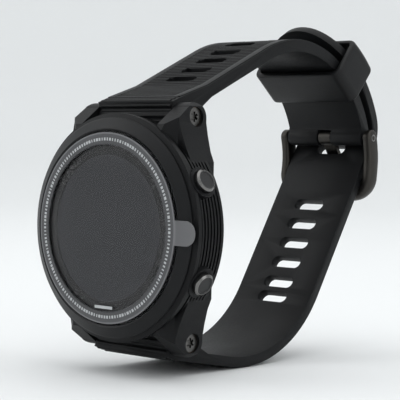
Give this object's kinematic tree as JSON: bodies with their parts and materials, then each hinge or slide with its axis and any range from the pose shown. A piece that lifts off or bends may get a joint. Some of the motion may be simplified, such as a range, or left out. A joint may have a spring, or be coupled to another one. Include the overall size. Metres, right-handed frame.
{
  "type": "gps running watch",
  "caption": "Round sports watch with a transflective dial, side buttons, a screwed-on slotted rubber strap, a keeper loop and a pin buckle, shown fastened as if worn.",
  "frame": {"origin": "centre of the flat back face that rests on the wrist", "axes": "-Y out of the display, +Y into the wrist, +Z towards 12 o'clock, +X towards 3 o'clock"},
  "size_m": [0.0503, 0.0808, 0.077],
  "materials": {
    "case_resin": "fine matt moulded fibre-filled resin",
    "bezel_resin": "fine matt moulded ring",
    "lens_glass": "polished hardened glass",
    "film": "soft frosted protective film",
    "display": "dark reflective display",
    "light_plastic": "clear moulded light guide",
    "inner_plastic": "plain moulded plastic",
    "board": "solder mask",
    "tin": "tinned sheet metal",
    "cell": "foil pouch",
    "ceramic": "fired ceramic",
    "seal_rubber": "greased seal rubber",
    "cover_resin": "smooth matt moulded cover",
    "sensor_black": "dark infrared-clear window",
    "led": "clear lens over a green chip",
    "gold": "gold-plated contact",
    "button_metal": "dark coated turned steel with a bright bevel",
    "screw_metal": "dark coated screw",
    "bright_steel": "plain steel",
    "strap_rubber": "matt silicone rubber",
    "keeper_rubber": "matt silicone rubber",
    "buckle_metal": "dark bead-blasted coated steel"
  },
  "bodies": {
    "case": {"case_body": "case_resin", "bezel_ring": "bezel_resin", "lens": "lens_glass", "lens_seal": "seal_rubber", "screen_film": "film", "display_panel": "display", "light_guide": "light_plastic", "inner_frame": "inner_plastic", "main_board": "board", "shield_can": "tin", "battery": "cell", "gps_antenna": "ceramic", "pressure_sensor": "tin", "motor_housing": "bright_steel", "buzzer": "gold", "back_cover": "cover_resin", "back_seal": "seal_rubber", "back_screws": "screw_metal", "sensor_window": "sensor_black", "sensor_board": "board", "sensor_leds": "led", "charge_contacts": "gold", "button_seals": "seal_rubber", "button_switches": "tin", "upper_lug_tube": "bright_steel", "lower_lug_tube": "bright_steel", "lug_screws": "screw_metal"},
    "motor_rotor": {"motor_weight": "bright_steel"},
    "start_button": {"button_start": "button_metal", "clip_start": "bright_steel"},
    "lap_button": {"button_lap": "button_metal", "clip_lap": "bright_steel"},
    "light_button": {"button_light": "button_metal", "clip_light": "bright_steel"},
    "up_button": {"button_up": "button_metal", "clip_up": "bright_steel"},
    "down_button": {"button_down": "button_metal", "clip_down": "bright_steel"},
    "upper_band": {"upper_strap": "strap_rubber"},
    "lower_band": {"lower_strap": "strap_rubber"},
    "keeper_loop": {"keeper": "keeper_rubber"},
    "buckle": {"buckle_frame": "buckle_metal", "buckle_pin": "bright_steel"},
    "tongue": {"buckle_tongue": "buckle_metal"}
  },
  "joints": [
    {"name": "start_press", "type": "slide", "parent": "case", "child": "start_button", "axis": [-0.9063, 0, -0.4226], "range_m": [0, 0.0006], "stiffness_N_per_m": 4000},
    {"name": "lap_press", "type": "slide", "parent": "case", "child": "lap_button", "axis": [-0.9063, 0, 0.4226], "range_m": [0, 0.0006], "stiffness_N_per_m": 4000},
    {"name": "light_press", "type": "slide", "parent": "case", "child": "light_button", "axis": [0.9063, 0, -0.4226], "range_m": [0, 0.0006], "stiffness_N_per_m": 4000},
    {"name": "up_press", "type": "slide", "parent": "case", "child": "up_button", "axis": [1, 0, 0], "range_m": [0, 0.0006], "stiffness_N_per_m": 4000},
    {"name": "down_press", "type": "slide", "parent": "case", "child": "down_button", "axis": [0.9063, 0, 0.4226], "range_m": [0, 0.0006], "stiffness_N_per_m": 4000},
    {"name": "motor_spin", "type": "hinge", "parent": "case", "child": "motor_rotor", "pos_m": [-0.0151, -0.0056, 0], "axis": [0, 0, 1], "continuous": true},
    {"name": "upper_band_swing", "type": "hinge", "parent": "case", "child": "upper_band", "pos_m": [0, -0.0034, 0.02325], "axis": [1, 0, 0], "range_deg": [-0.3, 0.3]},
    {"name": "lower_band_swing", "type": "hinge", "parent": "case", "child": "lower_band", "pos_m": [0, -0.0034, -0.02325], "axis": [1, 0, 0], "range_deg": [-0.21, 0.21]},
    {"name": "keeper_slide", "type": "hinge", "parent": "upper_band", "child": "keeper_loop", "pos_m": [0, 0.0361, 0.0137], "axis": [1, 0, 0], "range_deg": [-10, 2]},
    {"name": "buckle_swing", "type": "hinge", "parent": "upper_band", "child": "buckle", "pos_m": [0, 0.06131, 0.02008], "axis": [1, 0, 0], "range_deg": [-0.4, 1.2]},
    {"name": "tongue_swing", "type": "hinge", "parent": "buckle", "child": "tongue", "pos_m": [0, 0.06131, 0.02008], "axis": [1, 0, 0], "range_deg": [0, 1.5]}
  ],
  "couplings": [
    {"joint": "lower_band_swing", "follows": "upper_band_swing", "ratio": 0.7}
  ]
}
